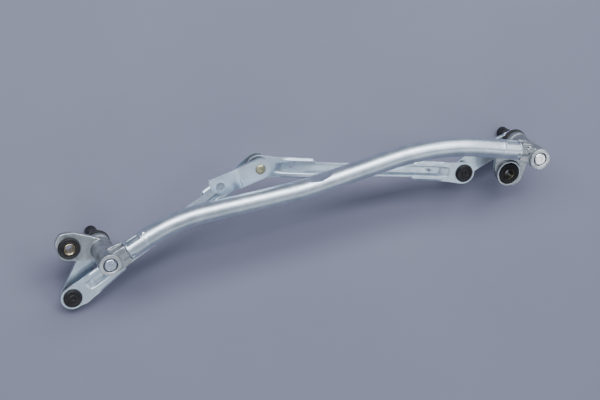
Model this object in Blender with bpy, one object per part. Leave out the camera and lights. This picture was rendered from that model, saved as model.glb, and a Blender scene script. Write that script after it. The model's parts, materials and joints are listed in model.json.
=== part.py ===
"""Windshield wiper linkage: bent tube frame, two cast pivot housings, levers, link rods, crank.

Every size below is in millimetres in the linkage's own frame: x runs from the left spindle to the
right spindle, y points to the side the tube bows to, and z points along the spindles to the motor
side, with the motor-side spindle faces at z = 0. One empty, linkage_frame, tilts that frame to the
way the linkage lies on a table, on its two spindle caps and the end of the left lever.
"""
import math

import bmesh
import bpy
from mathutils import Matrix, Vector

MM = 0.001
GAP = 0.3
ROUND = 24

# Spindles and levers.
PIVOT_SPACING = 450.0
LEFT_BALL = Vector((-33.8, -49.4, 0.0))
RIGHT_BALL = Vector((388.0, -19.4, 0.0))
CRANK_PIN = Vector((164.6, 48.6, 0.0))
SPINDLE_RADIUS = 6.0
THREAD_RADIUS = 4.0
BARREL_LENGTH = 56.0
BORE_RADIUS = 7.4
BUSH_RADIUS = 7.1
BOSS_RADIUS = 11.2
RIM_RADIUS = 11.8
BUSH_LENGTH = 12.0
CONE_START = -70.0
CONE_END = -75.6
SPINDLE_TIP = -86.0
CAP_START = -76.8
CAP_END = -90.0
CAP_RADIUS = 6.3
SEAL_RADIUS = 12.8
SEAL_TOP = -56.3
SEAL_BOTTOM = -60.9
LEVER_TOP = -62.0
LEVER_THICKNESS = 4.0
BALL_CENTRE = -57.4
BALL_RADIUS = 5.2

# Tube.
TUBE_RADIUS = 9.8
TUBE_WALL = 1.5
TUBE_LEVEL = -10.0
TUBE_CORNERS = [(19.8, 6.3), (69.0, 26.0), (200.0, 25.2), (342.0, 39.4), (431.0, 11.6)]
TUBE_TANGENTS = [30.0, 12.0, 52.0]
TUBE_STATIONS = 30
TUBE_SIDES = 18
DENT_CENTRE_X = 218.0
DENT_HALF_LENGTH = 14.0
DENT_DEPTH = 2.4
DENT_DIRECTION = math.radians(14.0)

# Cast pivot housings.
EAR_TOP = -41.0
EAR_THICKNESS = 5.0
EAR_RIM_RADIUS = 13.6
RIGHT_RIM_HEIGHT = 3.0
LEFT_EAR_HOLE = Vector((-30.2, 9.3, 0.0))
RIGHT_EAR_HOLE = Vector((432.2, -25.3, 0.0))
STUB_RADIUS = TUBE_RADIUS - TUBE_WALL - 0.4
STUB_LENGTH = 22.0
ARM_TOP = -3.0
ARM_BOTTOM = -17.4
RIB_BOTTOM = -43.0
BORE_WAIST_RADIUS = 6.8
BORE_WAIST_TOP = -17.6
BORE_WAIST_BOTTOM = -43.4

# Grommets and their sleeves.
GROMMET_RADIUS = 11.0
GROMMET_NECK = 7.9
GROMMET_FLANGE = 3.2
SLEEVE_RADIUS = 5.6
SLEEVE_BORE = 4.2

# Link rods.
LINK_PLATE = 2.0
LINK_OUTER_TOP = -53.0
LEFT_EYE_TOP = -44.5
RIGHT_EYE_TOP = -36.6
LINK_END_RADIUS = 11.6
LEFT_LINK_BELLY = 2.8
LINK_FLANGE_HALF = 10.4
LINK_WAIST_HALF = 6.9
LINK_FLANGE_END = 60.0
LINK_RECESS_START = 17.0
LINK_RECESS_FULL = 23.5
LINK_RECESS_DEPTH = 5.0
LINK_CHANNEL_TOP = 5.0
LINK_CHANNEL_FLOOR = 3.7
LINK_WALL_SHIFT = 1.5
SOCKET_RADIUS = 9.4
SOCKET_NECK = 7.7
SOCKET_TOP = -50.5
SOCKET_BOTTOM = -61.0
DRAIN_HOLE_RADIUS = 1.8

# Motor crank and its pin.
CRANK_TOP = -28.0
CRANK_PLATE = 4.0
CRANK_STEP = -2.5
CRANK_REACH = 42.6
CRANK_END_RADIUS = 10.6
CRANK_TAIL = 9.4
CRANK_TAIL_HALF = 9.7
CRANK_ANGLE = math.radians(190.8)
SHAFT_HOLE_RADIUS = 4.5
SHAFT_HOLE_OFFSET = 1.0
PIN_RADIUS = 3.2
OPEN_PIVOT_PLAY = 3.0

# How the linkage lies on a table: on the edges of both caps and of the left ball stud's rivet head.
CAP_EDGE = CAP_RADIUS - 1.2
RIVET_EDGE = 4.6
RIVET_BOTTOM = LEVER_TOP - LEVER_THICKNESS - 2.4
REST_TILT = math.atan2(RIVET_BOTTOM - CAP_END, -CAP_EDGE - (LEFT_BALL.y - RIVET_EDGE))


def clear_scene():
    for old in list(bpy.data.objects):
        bpy.data.objects.remove(old, do_unlink=True)


def make_material(name, colour, roughness, metallic):
    material = bpy.data.materials.new(name)
    material.use_nodes = True
    shader = material.node_tree.nodes["Principled BSDF"]
    shader.inputs["Base Color"].default_value = (*colour, 1.0)
    shader.inputs["Roughness"].default_value = roughness
    shader.inputs["Metallic"].default_value = metallic
    return material


def make_empty(name, place=(0.0, 0.0, 0.0), parent=None):
    empty = bpy.data.objects.new(name, None)
    bpy.context.collection.objects.link(empty)
    empty.location = Vector(place) * MM
    empty.parent = parent
    return empty


def finish(name, bm, axis, material=None):
    """Turn a bmesh in millimetres into an object on the empty that carries its joint axis."""
    bmesh.ops.recalc_face_normals(bm, faces=bm.faces)
    bmesh.ops.scale(bm, vec=(MM, MM, MM), verts=bm.verts)
    mesh = bpy.data.meshes.new(name)
    bm.to_mesh(mesh)
    bm.free()
    mesh.shade_smooth()
    mesh.set_sharp_from_angle(angle=math.radians(35.0))
    part = bpy.data.objects.new(name, mesh)
    bpy.context.collection.objects.link(part)
    part.parent = axis
    if material:
        mesh.materials.append(material)
    return part


def as_helper(part):
    part.hide_render = True
    part.display_type = "WIRE"
    return part


def combine(part, helper, operation):
    """Join or cut with a hidden helper solid."""
    as_helper(helper)
    boolean = part.modifiers.new(helper.name, "BOOLEAN")
    boolean.operation = operation
    boolean.object = helper
    return part


def cut(part, helper):
    return combine(part, helper, "DIFFERENCE")


def join(part, helper):
    return combine(part, helper, "UNION")


def turned_bmesh(profile, centre=(0.0, 0.0, 0.0), sides=ROUND, closed=False):
    """Turn (radius, z) points about z; a closed profile makes a ring, an open one ends on the axis."""
    bm = bmesh.new()
    rings = []
    for radius, height in profile:
        if radius == 0.0:
            rings.append([bm.verts.new((centre[0], centre[1], centre[2] + height))] * sides)
            continue
        ring = []
        for step in range(sides):
            angle = 2.0 * math.pi * step / sides
            x = centre[0] + radius * math.cos(angle)
            y = centre[1] + radius * math.sin(angle)
            ring.append(bm.verts.new((x, y, centre[2] + height)))
        rings.append(ring)
    pairs = list(zip(rings, rings[1:]))
    if closed:
        pairs.append((rings[-1], rings[0]))
    for low, high in pairs:
        for step in range(sides):
            after = (step + 1) % sides
            corners = [low[step], low[after], high[after], high[step]]
            bm.faces.new(list(dict.fromkeys(corners)))
    return bm


def turned(name, profile, axis, material, centre=(0.0, 0.0, 0.0), sides=ROUND, closed=False):
    return finish(name, turned_bmesh(profile, centre, sides, closed), axis, material)


def ring(name, inner, outer, top, bottom, axis, material, centre=(0.0, 0.0, 0.0), sides=ROUND):
    profile = [(inner, top), (outer, top), (outer, bottom), (inner, bottom)]
    return turned(name, profile, axis, material, centre, sides, closed=True)


def slab(name, outline, top, bottom, axis, material=None):
    """A plate with the given outline, cut square through."""
    bm = bmesh.new()
    low = [bm.verts.new((x, y, bottom)) for x, y in outline]
    high = [bm.verts.new((x, y, top)) for x, y in outline]
    bm.faces.new(low)
    bm.faces.new(high)
    for step in range(len(outline)):
        after = (step + 1) % len(outline)
        bm.faces.new((low[step], low[after], high[after], high[step]))
    return finish(name, bm, axis, material)


def arc(centre, radius, start, end, steps):
    """Points on an arc, angles in degrees."""
    points = []
    for step in range(steps + 1):
        angle = math.radians(start + (end - start) * step / steps)
        points.append((centre[0] + radius * math.cos(angle), centre[1] + radius * math.sin(angle)))
    return points


def rod(name, radius, top, bottom, axis, material=None, centre=(0.0, 0.0, 0.0), sides=ROUND):
    """A plain round bar along z."""
    step = 360.0 / sides
    return slab(name, arc(centre, radius, 0.0, 360.0 - step, sides - 1), top, bottom, axis, material)


def rounded(corners, radius, steps=5):
    """A closed outline with each corner rounded to the radius, or less where its sides are short."""
    points = []
    count = len(corners)
    for index, corner in enumerate(corners):
        here = Vector(corner)
        to_last = Vector(corners[index - 1]) - here
        to_next = Vector(corners[(index + 1) % count]) - here
        turn = to_last.angle(to_next)
        reach = min(radius / math.tan(turn / 2.0), to_last.length * 0.49, to_next.length * 0.49)
        start = here + to_last.normalized() * reach
        end = here + to_next.normalized() * reach
        for step in range(steps + 1):
            t = step / steps
            point = start * (1 - t) ** 2 + here * (2 * t * (1 - t)) + end * t ** 2
            points.append((point.x, point.y))
    return points


def bent_path(corners, tangents, stations):
    """Centre line of straight runs joined by curves, resampled to evenly spaced points."""
    dense = [Vector(corners[0])]
    for corner, last, after, reach in zip(corners[1:-1], corners, corners[2:], tangents):
        here = Vector(corner)
        start = here + (Vector(last) - here).normalized() * reach
        end = here + (Vector(after) - here).normalized() * reach
        for step in range(25):
            t = step / 24
            dense.append(start * (1 - t) ** 2 + here * (2 * t * (1 - t)) + end * t ** 2)
    dense.append(Vector(corners[-1]))
    lengths = [0.0]
    for first, second in zip(dense, dense[1:]):
        lengths.append(lengths[-1] + (second - first).length)
    path = []
    index = 0
    for station in range(stations):
        along = lengths[-1] * station / (stations - 1)
        while index < len(dense) - 2 and lengths[index + 1] < along:
            index += 1
        share = (along - lengths[index]) / (lengths[index + 1] - lengths[index])
        path.append(dense[index].lerp(dense[index + 1], share))
    return path


def press_depth(x):
    """How deep the pressed flat is at this place along the tube."""
    share = min(abs(x - DENT_CENTRE_X) / DENT_HALF_LENGTH, 1.0)
    return DENT_DEPTH * (0.5 + 0.5 * math.cos(math.pi * share))


def frame_tube(axis, material):
    """The bent steel tube, open at both ends, pressed flat for a short way near its middle."""
    dense = bent_path(TUBE_CORNERS, TUBE_TANGENTS, TUBE_STATIONS * 3)
    near_dent = DENT_HALF_LENGTH * 1.3
    path = [point for index, point in enumerate(dense)
            if index % 3 == 0 or index == len(dense) - 1 or abs(point.x - DENT_CENTRE_X) < near_dent]
    bm = bmesh.new()
    skins = []
    for radius in (TUBE_RADIUS, TUBE_RADIUS - TUBE_WALL):
        rings = []
        for index, point in enumerate(path):
            run = (path[min(index + 1, len(path) - 1)] - path[max(index - 1, 0)]).normalized()
            side = Vector((-run.y, run.x))
            limit = radius - press_depth(point.x)
            ring_points = []
            for step in range(TUBE_SIDES):
                angle = 2.0 * math.pi * step / TUBE_SIDES
                reach = radius * math.cos(angle - DENT_DIRECTION)
                across = radius * math.cos(angle)
                rise = radius * math.sin(angle)
                if reach > limit:
                    across -= (reach - limit) * math.cos(DENT_DIRECTION)
                    rise -= (reach - limit) * math.sin(DENT_DIRECTION)
                spot = point + side * across
                ring_points.append(bm.verts.new((spot.x, spot.y, TUBE_LEVEL + rise)))
            rings.append(ring_points)
        skins.append(rings)
    for rings in skins:
        for first, second in zip(rings, rings[1:]):
            for step in range(TUBE_SIDES):
                after = (step + 1) % TUBE_SIDES
                bm.faces.new((first[step], first[after], second[after], second[step]))
    outer, inner = skins
    for end in (0, -1):
        for step in range(TUBE_SIDES):
            after = (step + 1) % TUBE_SIDES
            bm.faces.new((outer[end][step], outer[end][after], inner[end][after], inner[end][step]))
    return finish("frame_tube", bm, axis, material)


def tube_stub(name, end, into, axis):
    """The cast plug that the tube is crimped on, running from the arm into the tube."""
    bm = turned_bmesh([(0.0, -9.0), (STUB_RADIUS, -9.0), (STUB_RADIUS, STUB_LENGTH - 1.5),
                       (STUB_RADIUS - 1.5, STUB_LENGTH), (0.0, STUB_LENGTH)])
    run = Vector((into[0] - end[0], into[1] - end[1], 0.0)).normalized()
    bm.transform(Matrix.Translation((end[0], end[1], TUBE_LEVEL)) @ run.to_track_quat("Z", "Y").to_matrix().to_4x4())
    return finish(name, bm, axis)


def pivot_housing(side, centre, arm, ear, ear_hole, rim_height, rib, stub, axis, material):
    """One die casting: barrel, arm with the plug for the tube, mounting ear and stiffening rib."""
    barrel = [(0.0, -0.3), (BOSS_RADIUS - 0.8, -0.3), (BOSS_RADIUS, -1.1), (BOSS_RADIUS, -15.0),
              (10.3, -22.0), (10.3, -48.0), (RIM_RADIUS, -51.0), (RIM_RADIUS, -55.5),
              (RIM_RADIUS - 0.5, -BARREL_LENGTH), (0.0, -BARREL_LENGTH)]
    name = side + "_pivot_housing"
    housing = turned(name, barrel, axis, material, centre)
    join(housing, slab(side + "_arm", arm, ARM_TOP, ARM_BOTTOM, axis))
    join(housing, slab(side + "_ear", ear, EAR_TOP, EAR_TOP - EAR_THICKNESS, axis))
    join(housing, slab(side + "_rib", rib, -16.0, RIB_BOTTOM, axis))
    join(housing, stub)
    bore = [(0.0, 2.0), (BORE_RADIUS, 2.0), (BORE_RADIUS, BORE_WAIST_TOP), (BORE_WAIST_RADIUS, BORE_WAIST_TOP),
            (BORE_WAIST_RADIUS, BORE_WAIST_BOTTOM), (BORE_RADIUS, BORE_WAIST_BOTTOM), (BORE_RADIUS, -60.0), (0.0, -60.0)]
    cut(housing, turned(side + "_bore", bore, axis, None, centre))
    if rim_height:
        join(housing, ring(side + "_ear_rim", GROMMET_RADIUS + GAP, EAR_RIM_RADIUS, EAR_TOP + rim_height,
                           EAR_TOP - 1.0, axis, None, ear_hole))
    cut(housing, rod(side + "_ear_hole", GROMMET_NECK + GAP, EAR_TOP + 5.0, EAR_TOP - 10.0, axis, None, ear_hole))
    return housing


def housing_parts(side, centre, axis, steel, dark_steel, bronze, rubber):
    """Bushes, washer, snap ring and seal that sit on one spindle and stay with the frame."""
    top_bush = -5.3
    low_bush = -BARREL_LENGTH + GAP
    ring(side + "_upper_bush", SPINDLE_RADIUS + GAP, BUSH_RADIUS, top_bush, top_bush - BUSH_LENGTH, axis, bronze, centre)
    ring(side + "_lower_bush", SPINDLE_RADIUS + GAP, BUSH_RADIUS, low_bush + BUSH_LENGTH, low_bush, axis, bronze, centre)
    ring(side + "_shim_washer", SPINDLE_RADIUS + GAP, BUSH_RADIUS, -4.0, -5.0, axis, steel, centre)
    ring(side + "_dust_seal", SPINDLE_RADIUS + GAP, SEAL_RADIUS, SEAL_TOP, SEAL_BOTTOM, axis, rubber, centre)


def snap_ring(side, axis, material):
    """Open spring ring in the groove near the motor-side end of the spindle."""
    open_half = 28.0
    outer = arc((0.0, 0.0), 7.0, open_half, 360.0 - open_half, 28)
    inner = arc((0.0, 0.0), 5.5, 360.0 - open_half, open_half, 28)
    return slab(side + "_snap_ring", outer + inner, -2.6, -3.7, axis, material)


def spindle(side, axis, material):
    """Spindle with a snap ring groove at one end and the wiper arm's cone and thread at the other."""
    groove = 5.2
    profile = [(0.0, 0.0), (SPINDLE_RADIUS - 0.7, 0.0), (SPINDLE_RADIUS, -0.7), (SPINDLE_RADIUS, -2.3),
               (groove, -2.3), (groove, -4.0), (SPINDLE_RADIUS, -4.0), (SPINDLE_RADIUS, CONE_START),
               (THREAD_RADIUS + 0.4, CONE_END), (THREAD_RADIUS, CONE_END - 0.6),
               (THREAD_RADIUS, SPINDLE_TIP + 1.0), (3.2, SPINDLE_TIP), (0.0, SPINDLE_TIP)]
    return turned(side + "_spindle", profile, axis, material)


def protective_cap(side, axis, material):
    """Soft cap pushed over the thread for transport."""
    inside = THREAD_RADIUS + GAP
    lip = CAP_RADIUS + 0.7
    profile = [(0.0, CAP_END), (CAP_EDGE, CAP_END), (CAP_RADIUS, CAP_END + 1.2), (CAP_RADIUS, CAP_START - 2.6),
               (lip, CAP_START - 1.6), (lip, CAP_START), (inside, CAP_START),
               (inside, SPINDLE_TIP - GAP), (0.0, SPINDLE_TIP - GAP)]
    return turned(side + "_protective_cap", profile, axis, material)


def lever(side, ball, outer_bulge, axis, material):
    """Stamped lever plate with a collar pressed on the spindle and a hole for the ball stud."""
    length = ball.length
    heading = math.atan2(ball.y, ball.x)
    hub_radius = 9.6
    end_radius = 9.8
    outline = arc((0.0, 0.0), hub_radius, 80.0, 280.0, 14)
    outline += [(length * 0.3, -9.6 - outer_bulge), (length * 0.75, -9.4 - outer_bulge)]
    outline += arc((length, 0.0), end_radius, -85.0, 85.0, 14)
    outline += [(length * 0.45, 8.8)]
    turn = Matrix.Rotation(heading, 2)
    outline = [tuple(turn @ Vector(point)) for point in outline]
    plate = slab(side + "_lever", outline, LEVER_TOP, LEVER_TOP - LEVER_THICKNESS, axis, material)
    join(plate, rod(side + "_lever_collar", 8.6, SEAL_BOTTOM - GAP, -69.6, axis))
    cut(plate, rod(side + "_lever_bore", SPINDLE_RADIUS + GAP, -50.0, -80.0, axis))
    cut(plate, rod(side + "_stud_hole", 3.9, -50.0, -80.0, axis, None, (ball.x, ball.y, 0.0)))
    return plate


def ball_stud(side, ball, axis, material):
    """Ball, shank and rivet head of the stud at the end of a lever."""
    shank = 3.6
    lever_bottom = LEVER_TOP - LEVER_THICKNESS
    low_angle = math.acos(shank / BALL_RADIUS)
    profile = [(0.0, BALL_CENTRE + BALL_RADIUS)]
    for step in range(1, 8):
        angle = math.pi / 2.0 - (math.pi / 2.0 + low_angle) * step / 7
        profile.append((BALL_RADIUS * math.cos(angle), BALL_CENTRE + BALL_RADIUS * math.sin(angle)))
    profile += [(shank, lever_bottom - GAP), (6.0, lever_bottom - GAP), (6.0, lever_bottom - 1.2),
                (RIVET_EDGE, RIVET_BOTTOM), (0.0, RIVET_BOTTOM)]
    return turned(side + "_ball_stud", profile, axis, material, (ball.x, ball.y, 0.0), 24)


def ball_socket(side, axis, material):
    """Plastic socket snapped over the ball and held in the hole of the link rod."""
    cavity = BALL_RADIUS + GAP
    plate_low = LINK_OUTER_TOP - LINK_PLATE
    mouth = math.asin((SOCKET_BOTTOM - BALL_CENTRE) / cavity)
    profile = [(0.0, SOCKET_TOP), (SOCKET_RADIUS - 1.0, SOCKET_TOP), (SOCKET_RADIUS, SOCKET_TOP - 0.8),
               (SOCKET_RADIUS, LINK_OUTER_TOP + GAP), (SOCKET_NECK, LINK_OUTER_TOP + GAP),
               (SOCKET_NECK, plate_low - GAP), (SOCKET_RADIUS, plate_low - GAP),
               (SOCKET_RADIUS, SOCKET_BOTTOM + 1.5), (SOCKET_RADIUS - 1.5, SOCKET_BOTTOM)]
    for step in range(7):
        angle = mouth + (math.pi / 2.0 - mouth) * step / 6
        radius = 0.0 if step == 6 else cavity * math.cos(angle)
        profile.append((radius, BALL_CENTRE + cavity * math.sin(angle)))
    return turned(side + "_ball_socket", profile, axis, material)


def smooth(value, low, high):
    share = min(max((value - low) / (high - low), 0.0), 1.0)
    return share * share * (3.0 - 2.0 * share)


def link_half_width(along, length):
    """Half the rod's width: round ends, flanged stretches next to them and a narrow waist."""
    near_end = min(along, length - along)
    if near_end < 0.0:
        return math.sqrt(max(LINK_END_RADIUS ** 2 - near_end ** 2, 0.25))
    flanged = LINK_END_RADIUS + (LINK_FLANGE_HALF - LINK_END_RADIUS) * smooth(near_end, 2.0, 20.0)
    return flanged + (LINK_WAIST_HALF - LINK_FLANGE_HALF) * smooth(near_end, LINK_FLANGE_END - 2.0, LINK_FLANGE_END + 1.0)


def link_rod(side, span, belly, eye_top, eye_hole, drains, axis, material):
    """Pressed rod with a channel sunk along it, from the ball end to the eye at the crank pin.

    belly is how much wider the flange on the right hand is, just past the ball end."""
    length = span.length
    reach = LINK_END_RADIUS
    round_steps = [-reach * math.cos(math.radians(angle)) for angle in (8, 25, 42, 60, 78)]
    inner = [2.0, 7.0, 12.0, 17.0, 19.0, 21.5, 23.5, 35.0, 46.0, 58.0, 59.5, 61.0, 75.0, 92.0]
    first_half = round_steps + inner
    stations = first_half + [length / 2.0] + [length - value for value in reversed(first_half)]
    bm = bmesh.new()
    loops = []
    for along in stations:
        level = LINK_OUTER_TOP + (eye_top - LINK_OUTER_TOP) * smooth(along, 14.0, length - 14.0)
        near_end = min(along, length - along)
        sink = LINK_RECESS_DEPTH * smooth(near_end, LINK_RECESS_START, LINK_RECESS_FULL)
        half = link_half_width(along, length)
        low = half + belly * smooth(along, 0.0, 10.0) * (1.0 - smooth(along, 22.0, LINK_FLANGE_END + 2.0))
        scale = min(1.0, half / (LINK_CHANNEL_TOP + LINK_WALL_SHIFT + 0.2))
        lip = LINK_CHANNEL_TOP * scale
        floor = LINK_CHANNEL_FLOOR * scale
        shift = LINK_WALL_SHIFT * scale
        upper = [(-low, 0.0), (-lip, 0.0), (-floor, -sink), (floor, -sink), (lip, 0.0), (half, 0.0)]
        lower = [(half, 0.0), (lip + shift, 0.0), (floor + shift, -sink), (-floor - shift, -sink),
                 (-lip - shift, 0.0), (-low, 0.0)]
        loop = [bm.verts.new((along, across, level + rise)) for across, rise in upper]
        loop += [bm.verts.new((along, across, level + rise - LINK_PLATE)) for across, rise in lower]
        loops.append(loop)
    for first, second in zip(loops, loops[1:]):
        for step in range(len(first)):
            after = (step + 1) % len(first)
            bm.faces.new((first[step], first[after], second[after], second[step]))
    bm.faces.new(loops[0])
    bm.faces.new(loops[-1])
    bm.transform(Matrix.Rotation(math.atan2(span.y, span.x), 4, "Z"))
    link = finish(side + "_link_rod", bm, axis, material)
    turn = Matrix.Rotation(math.atan2(span.y, span.x), 3, "Z")
    cut(link, rod(side + "_socket_hole", SOCKET_NECK + GAP, -40.0, -70.0, axis))
    cut(link, rod(side + "_eye_hole", eye_hole, -20.0, -70.0, axis, None, span))
    for drain in drains:
        spot = turn @ Vector((drain, 0.0, 0.0))
        cut(link, rod(side + "_drain_hole", DRAIN_HOLE_RADIUS, -20.0, -70.0, axis, None, spot, 12))
    return link


def eye_bush(side, eye_top, inner, outer, centre, axis, material):
    """Flanged bush in a link rod's eye."""
    low = eye_top - LINK_PLATE
    profile = [(inner, eye_top + 1.2), (outer + 1.2, eye_top + 1.2), (outer + 1.2, eye_top + GAP),
               (outer, eye_top + GAP), (outer, low - GAP), (outer + 1.2, low - GAP),
               (outer + 1.2, low - 1.2), (inner, low - 1.2)]
    return turned(side + "_eye_bush", profile, axis, material, centre, ROUND, closed=True)


def crank_pin(axis, material):
    """Stepped pin riveted in the crank, passing both link rod eyes."""
    under = CRANK_TOP - CRANK_PLATE
    profile = [(0.0, CRANK_TOP + 1.5), (4.2, CRANK_TOP + 1.5), (4.9, CRANK_TOP + 0.9), (4.9, CRANK_TOP + GAP),
               (PIN_RADIUS, CRANK_TOP + GAP), (PIN_RADIUS, under - GAP), (5.6, under - GAP),
               (5.6, under - 1.6), (PIN_RADIUS, under - 1.6), (PIN_RADIUS, -48.6), (2.9, -48.6),
               (2.9, -49.8), (PIN_RADIUS, -49.8), (PIN_RADIUS, -50.8), (0.0, -50.8)]
    return turned("crank_pin", profile, axis, material, sides=24)


def pin_clip(axis, material):
    """Spring clip in the groove at the end of the crank pin."""
    outer = arc((0.0, 0.0), 6.4, 30.0, 330.0, 22)
    inner = arc((0.0, 0.0), 3.2, 330.0, 30.0, 22)
    return slab("pin_clip", outer + inner, -48.8, -49.6, axis, material)


def motor_crank(axis, material):
    """Crank strip: round end at the pin, a step down, and a cut-off end with the motor shaft hole."""
    half = CRANK_END_RADIUS
    tail = CRANK_TAIL_HALF
    tail_end = CRANK_REACH + CRANK_TAIL
    round_end = [(x, -y, y, 0.0) for x, y in arc((0.0, 0.0), half, 176.0, 92.0, 9)]
    strip = [(21.0, -half, half, 0.0), (24.0, -half + 0.2, half - 0.2, 0.2 * CRANK_STEP),
             (29.0, -tail - 0.2, tail + 0.2, 0.9 * CRANK_STEP), (32.0, -tail, tail, CRANK_STEP),
             (CRANK_REACH + 1.0, -tail, tail, CRANK_STEP), (tail_end - 2.0, -tail + 0.3, tail - 4.7, CRANK_STEP),
             (tail_end, -tail + 0.9, -tail + 1.5, CRANK_STEP)]
    bm = bmesh.new()
    loops = []
    for along, low, high, rise in round_end + strip:
        corners = [(along, low, 0.0), (along, high, 0.0), (along, high, -CRANK_PLATE), (along, low, -CRANK_PLATE)]
        loops.append([bm.verts.new((x, y, CRANK_TOP + rise + z)) for x, y, z in corners])
    for first, second in zip(loops, loops[1:]):
        for step in range(4):
            after = (step + 1) % 4
            bm.faces.new((first[step], first[after], second[after], second[step]))
    bm.faces.new(loops[0])
    bm.faces.new(loops[-1])
    bm.transform(Matrix.Rotation(CRANK_ANGLE, 4, "Z"))
    crank = finish("motor_crank", bm, axis, material)
    shaft = Matrix.Rotation(CRANK_ANGLE, 3, "Z") @ Vector((CRANK_REACH, SHAFT_HOLE_OFFSET, 0.0))
    cut(crank, rod("crank_pin_hole", PIN_RADIUS + GAP, -10.0, -50.0, axis))
    cut(crank, rod("crank_shaft_hole", SHAFT_HOLE_RADIUS, -10.0, -50.0, axis, None, shaft))
    return crank


def grommet(side, centre, axis, material):
    """Rubber grommet snapped in the ear, with a neck through the plate and a flange on each side."""
    low = EAR_TOP - EAR_THICKNESS
    inner = SLEEVE_RADIUS + GAP
    profile = [(inner, EAR_TOP + GROMMET_FLANGE), (GROMMET_RADIUS - 1.2, EAR_TOP + GROMMET_FLANGE),
               (GROMMET_RADIUS, EAR_TOP + GROMMET_FLANGE - 1.2), (GROMMET_RADIUS, EAR_TOP + GAP),
               (GROMMET_NECK, EAR_TOP + GAP), (GROMMET_NECK, low - GAP), (GROMMET_RADIUS, low - GAP),
               (GROMMET_RADIUS, low - GROMMET_FLANGE + 1.2), (GROMMET_RADIUS - 1.2, low - GROMMET_FLANGE),
               (inner, low - GROMMET_FLANGE)]
    return turned(side + "_grommet", profile, axis, material, centre, ROUND, closed=True)


def sleeve(side, centre, axis, material):
    """Spacer sleeve that the mounting bolt is tightened against."""
    top = EAR_TOP + GROMMET_FLANGE + 0.5
    bottom = EAR_TOP - EAR_THICKNESS - GROMMET_FLANGE - 0.5
    return ring(side + "_grommet_sleeve", SLEEVE_BORE, SLEEVE_RADIUS, top, bottom, axis, material, centre)


def beside_tube(end, into, points):
    """Points given as (distance into the tube, distance to its left) in the linkage's x and y."""
    run = (Vector(into) - Vector(end)).normalized()
    side = Vector((-run.y, run.x))
    return [tuple(Vector(end) + run * along + side * across) for along, across in points]


def build_left_housing(frame, material):
    end, into = TUBE_CORNERS[0], TUBE_CORNERS[1]
    arm = [(1.0, -11.0), (8.0, -9.4)]
    arm += beside_tube(end, into, [(-0.4, -9.8), (-0.4, 9.6)])
    arm += [(4.0, 11.0), (-4.6, 8.0), (-7.0, 0.0)]
    ear = rounded([(-43.4, 15.2), (-38.0, 25.4), (-24.0, 24.2), (-8.0, 16.2), (5.0, 9.0), (3.0, -9.0),
                   (-9.0, -9.5), (-26.0, -5.8), (-40.6, -1.6)], 9.0)
    rib = [(0.0, -1.5), (0.0, 1.5), (11.4, 6.6), (12.4, 4.0)]
    stub = tube_stub("left_stub", end, into, frame)
    return pivot_housing("left", (0.0, 0.0, 0.0), arm, ear, LEFT_EAR_HOLE, 0.0, rib, stub, frame, material)


def build_right_housing(frame, material):
    x = PIVOT_SPACING
    end, into = TUBE_CORNERS[-1], TUBE_CORNERS[-2]
    arm = [(x - 1.0, 10.6), (x - 8.0, 17.6)]
    arm += beside_tube(end, into, [(-0.4, -9.8), (-0.4, 9.6)])
    arm += [(436.0, -1.5), (x - 6.0, -9.6), (x, -4.0)]
    ear = rounded([(419.5, -6.0), (417.6, -18.0), (419.0, -29.5), (427.0, -38.0), (437.0, -41.5), (445.5, -38.5),
                   (452.0, -26.0), (457.0, -14.0), (456.0, 2.0), (440.0, 9.0)], 8.0)
    rib = [(x - 1.5, -1.0), (x - 16.0, 7.0), (x - 14.4, 9.8), (x, 2.0)]
    stub = tube_stub("right_stub", end, into, frame)
    return pivot_housing("right", (x, 0.0, 0.0), arm, ear, RIGHT_EAR_HOLE, RIGHT_RIM_HEIGHT, rib, stub, frame, material)


def build_side(side, centre, ball, ear_hole, outer_bulge, drains, frame, mats):
    """Everything at one spindle: what stays with the frame, the lever and the link rod."""
    spindle_axis = make_empty(side + "_spindle_axis", centre, frame)
    arm_to_ball = ball - centre
    link_axis = make_empty(side + "_link_axis", arm_to_ball, spindle_axis)
    housing_parts(side, centre, frame, mats["steel"], mats["dark"], mats["bronze"], mats["rubber"])
    snap_ring(side, spindle_axis, mats["dark"])
    spindle(side, spindle_axis, mats["steel"])
    protective_cap(side, spindle_axis, mats["plastic"])
    lever(side, arm_to_ball, outer_bulge, spindle_axis, mats["zinc"])
    ball_stud(side, arm_to_ball, spindle_axis, mats["steel"])
    ball_socket(side, link_axis, mats["plastic"])
    to_pin = CRANK_PIN - ball
    eye_top = LEFT_EYE_TOP if side == "left" else RIGHT_EYE_TOP
    belly = LEFT_LINK_BELLY if side == "left" else 0.0
    inner = PIN_RADIUS + GAP if side == "left" else PIN_RADIUS + OPEN_PIVOT_PLAY
    outer = inner + 1.8
    link_rod(side, to_pin, belly, eye_top, outer + GAP, drains, link_axis, mats["zinc"])
    eye_bush(side, eye_top, inner, outer, to_pin, link_axis, mats["plastic"])
    grommet(side, ear_hole, frame, mats["rubber"])
    sleeve(side, ear_hole, frame, mats["passivated"])
    return link_axis


def stand_on_table(frame):
    """Tilt the linkage, then put the origin under the middle of its box, on the table."""
    frame.rotation_euler = (REST_TILT, 0.0, 0.0)
    bpy.context.view_layer.update()
    corners = []
    for part in bpy.data.objects:
        if part.type == "MESH" and not part.hide_render:
            corners += [part.matrix_world @ vertex.co for vertex in part.data.vertices]
    low = Vector([min(corner[axis] for corner in corners) for axis in range(3)])
    high = Vector([max(corner[axis] for corner in corners) for axis in range(3)])
    frame.location = (-(low.x + high.x) / 2.0, -(low.y + high.y) / 2.0, -low.z)


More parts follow.
